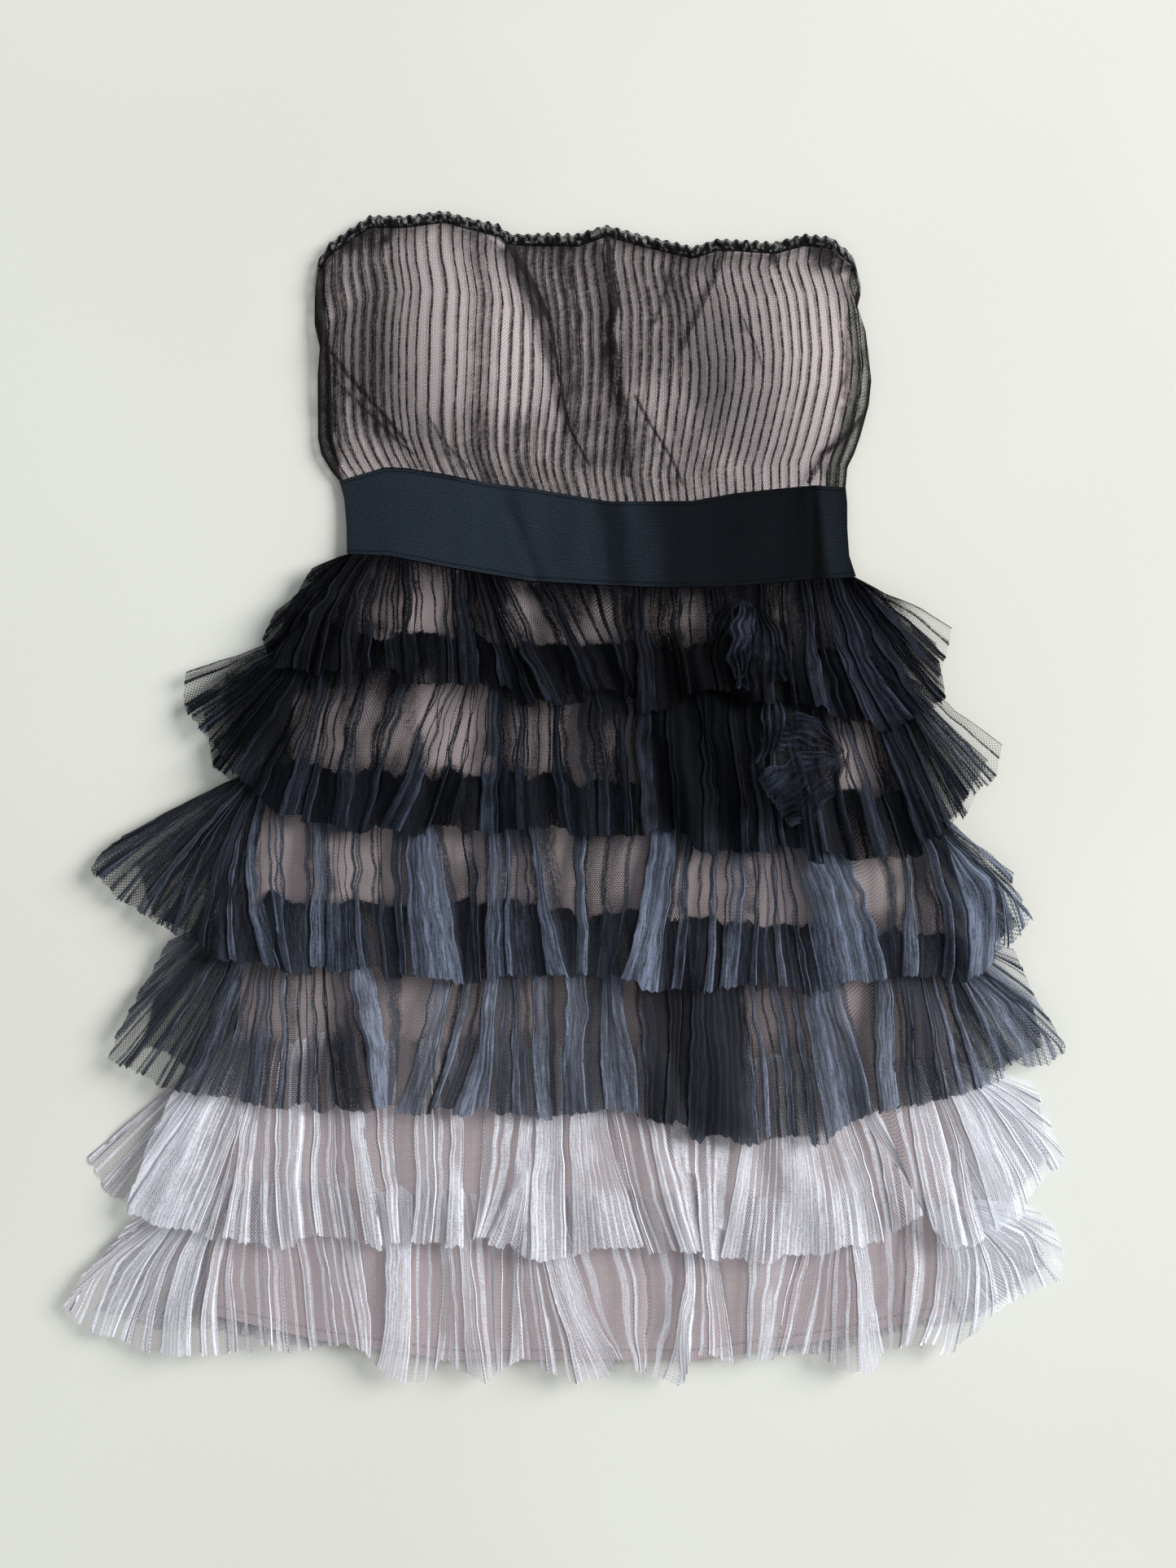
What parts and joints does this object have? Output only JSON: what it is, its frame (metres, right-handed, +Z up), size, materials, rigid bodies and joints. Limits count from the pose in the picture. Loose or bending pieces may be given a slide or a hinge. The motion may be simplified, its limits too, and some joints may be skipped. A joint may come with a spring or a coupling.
{
  "type": "ruffle dress",
  "caption": "Strapless ruffle dress lying flat: cupped bodice under sheer pleated net, wide elastic waistband and gathered pleated tiers over a lining.",
  "frame": {"origin": "on the surface that the dress lies on, below the middle of its outline", "axes": "+Z up out of the front of the dress, +Y towards the bodice's top edge, +X to the right of the dress as seen from above"},
  "size_m": [0.6095, 0.7134, 0.0245],
  "materials": {
    "black_net": "sheer black micro-pleated net",
    "navy_net": "sheer navy micro-pleated net",
    "lavender_net": "sheer pale lavender micro-pleated net",
    "pink_knit": "dusty pink fine knit",
    "black_elastic": "black ribbed elastic",
    "cup_foam": "knit-covered foam pad"
  },
  "bodies": {
    "root": {"bodice_overlay_front": "black_net", "bodice_overlay_back": "black_net", "bodice_lining_front": "pink_knit", "bodice_lining_back": "pink_knit", "cup_left": "cup_foam", "cup_right": "cup_foam", "top_edge_front": "black_net", "top_edge_back": "black_net", "waistband_front": "black_elastic", "waistband_back": "black_elastic", "skirt_lining_front": "pink_knit", "skirt_lining_back": "pink_knit", "tier_1_front": "black_net", "tier_1_back": "black_net", "tier_2_front": "black_net", "tier_2_back": "black_net", "tier_3_front": "navy_net", "tier_3_back": "navy_net", "tier_4_front": "navy_net", "tier_4_back": "navy_net", "tier_5_front": "lavender_net", "tier_5_back": "lavender_net", "tier_6_front": "lavender_net", "tier_6_back": "lavender_net"}
  },
  "joints": []
}
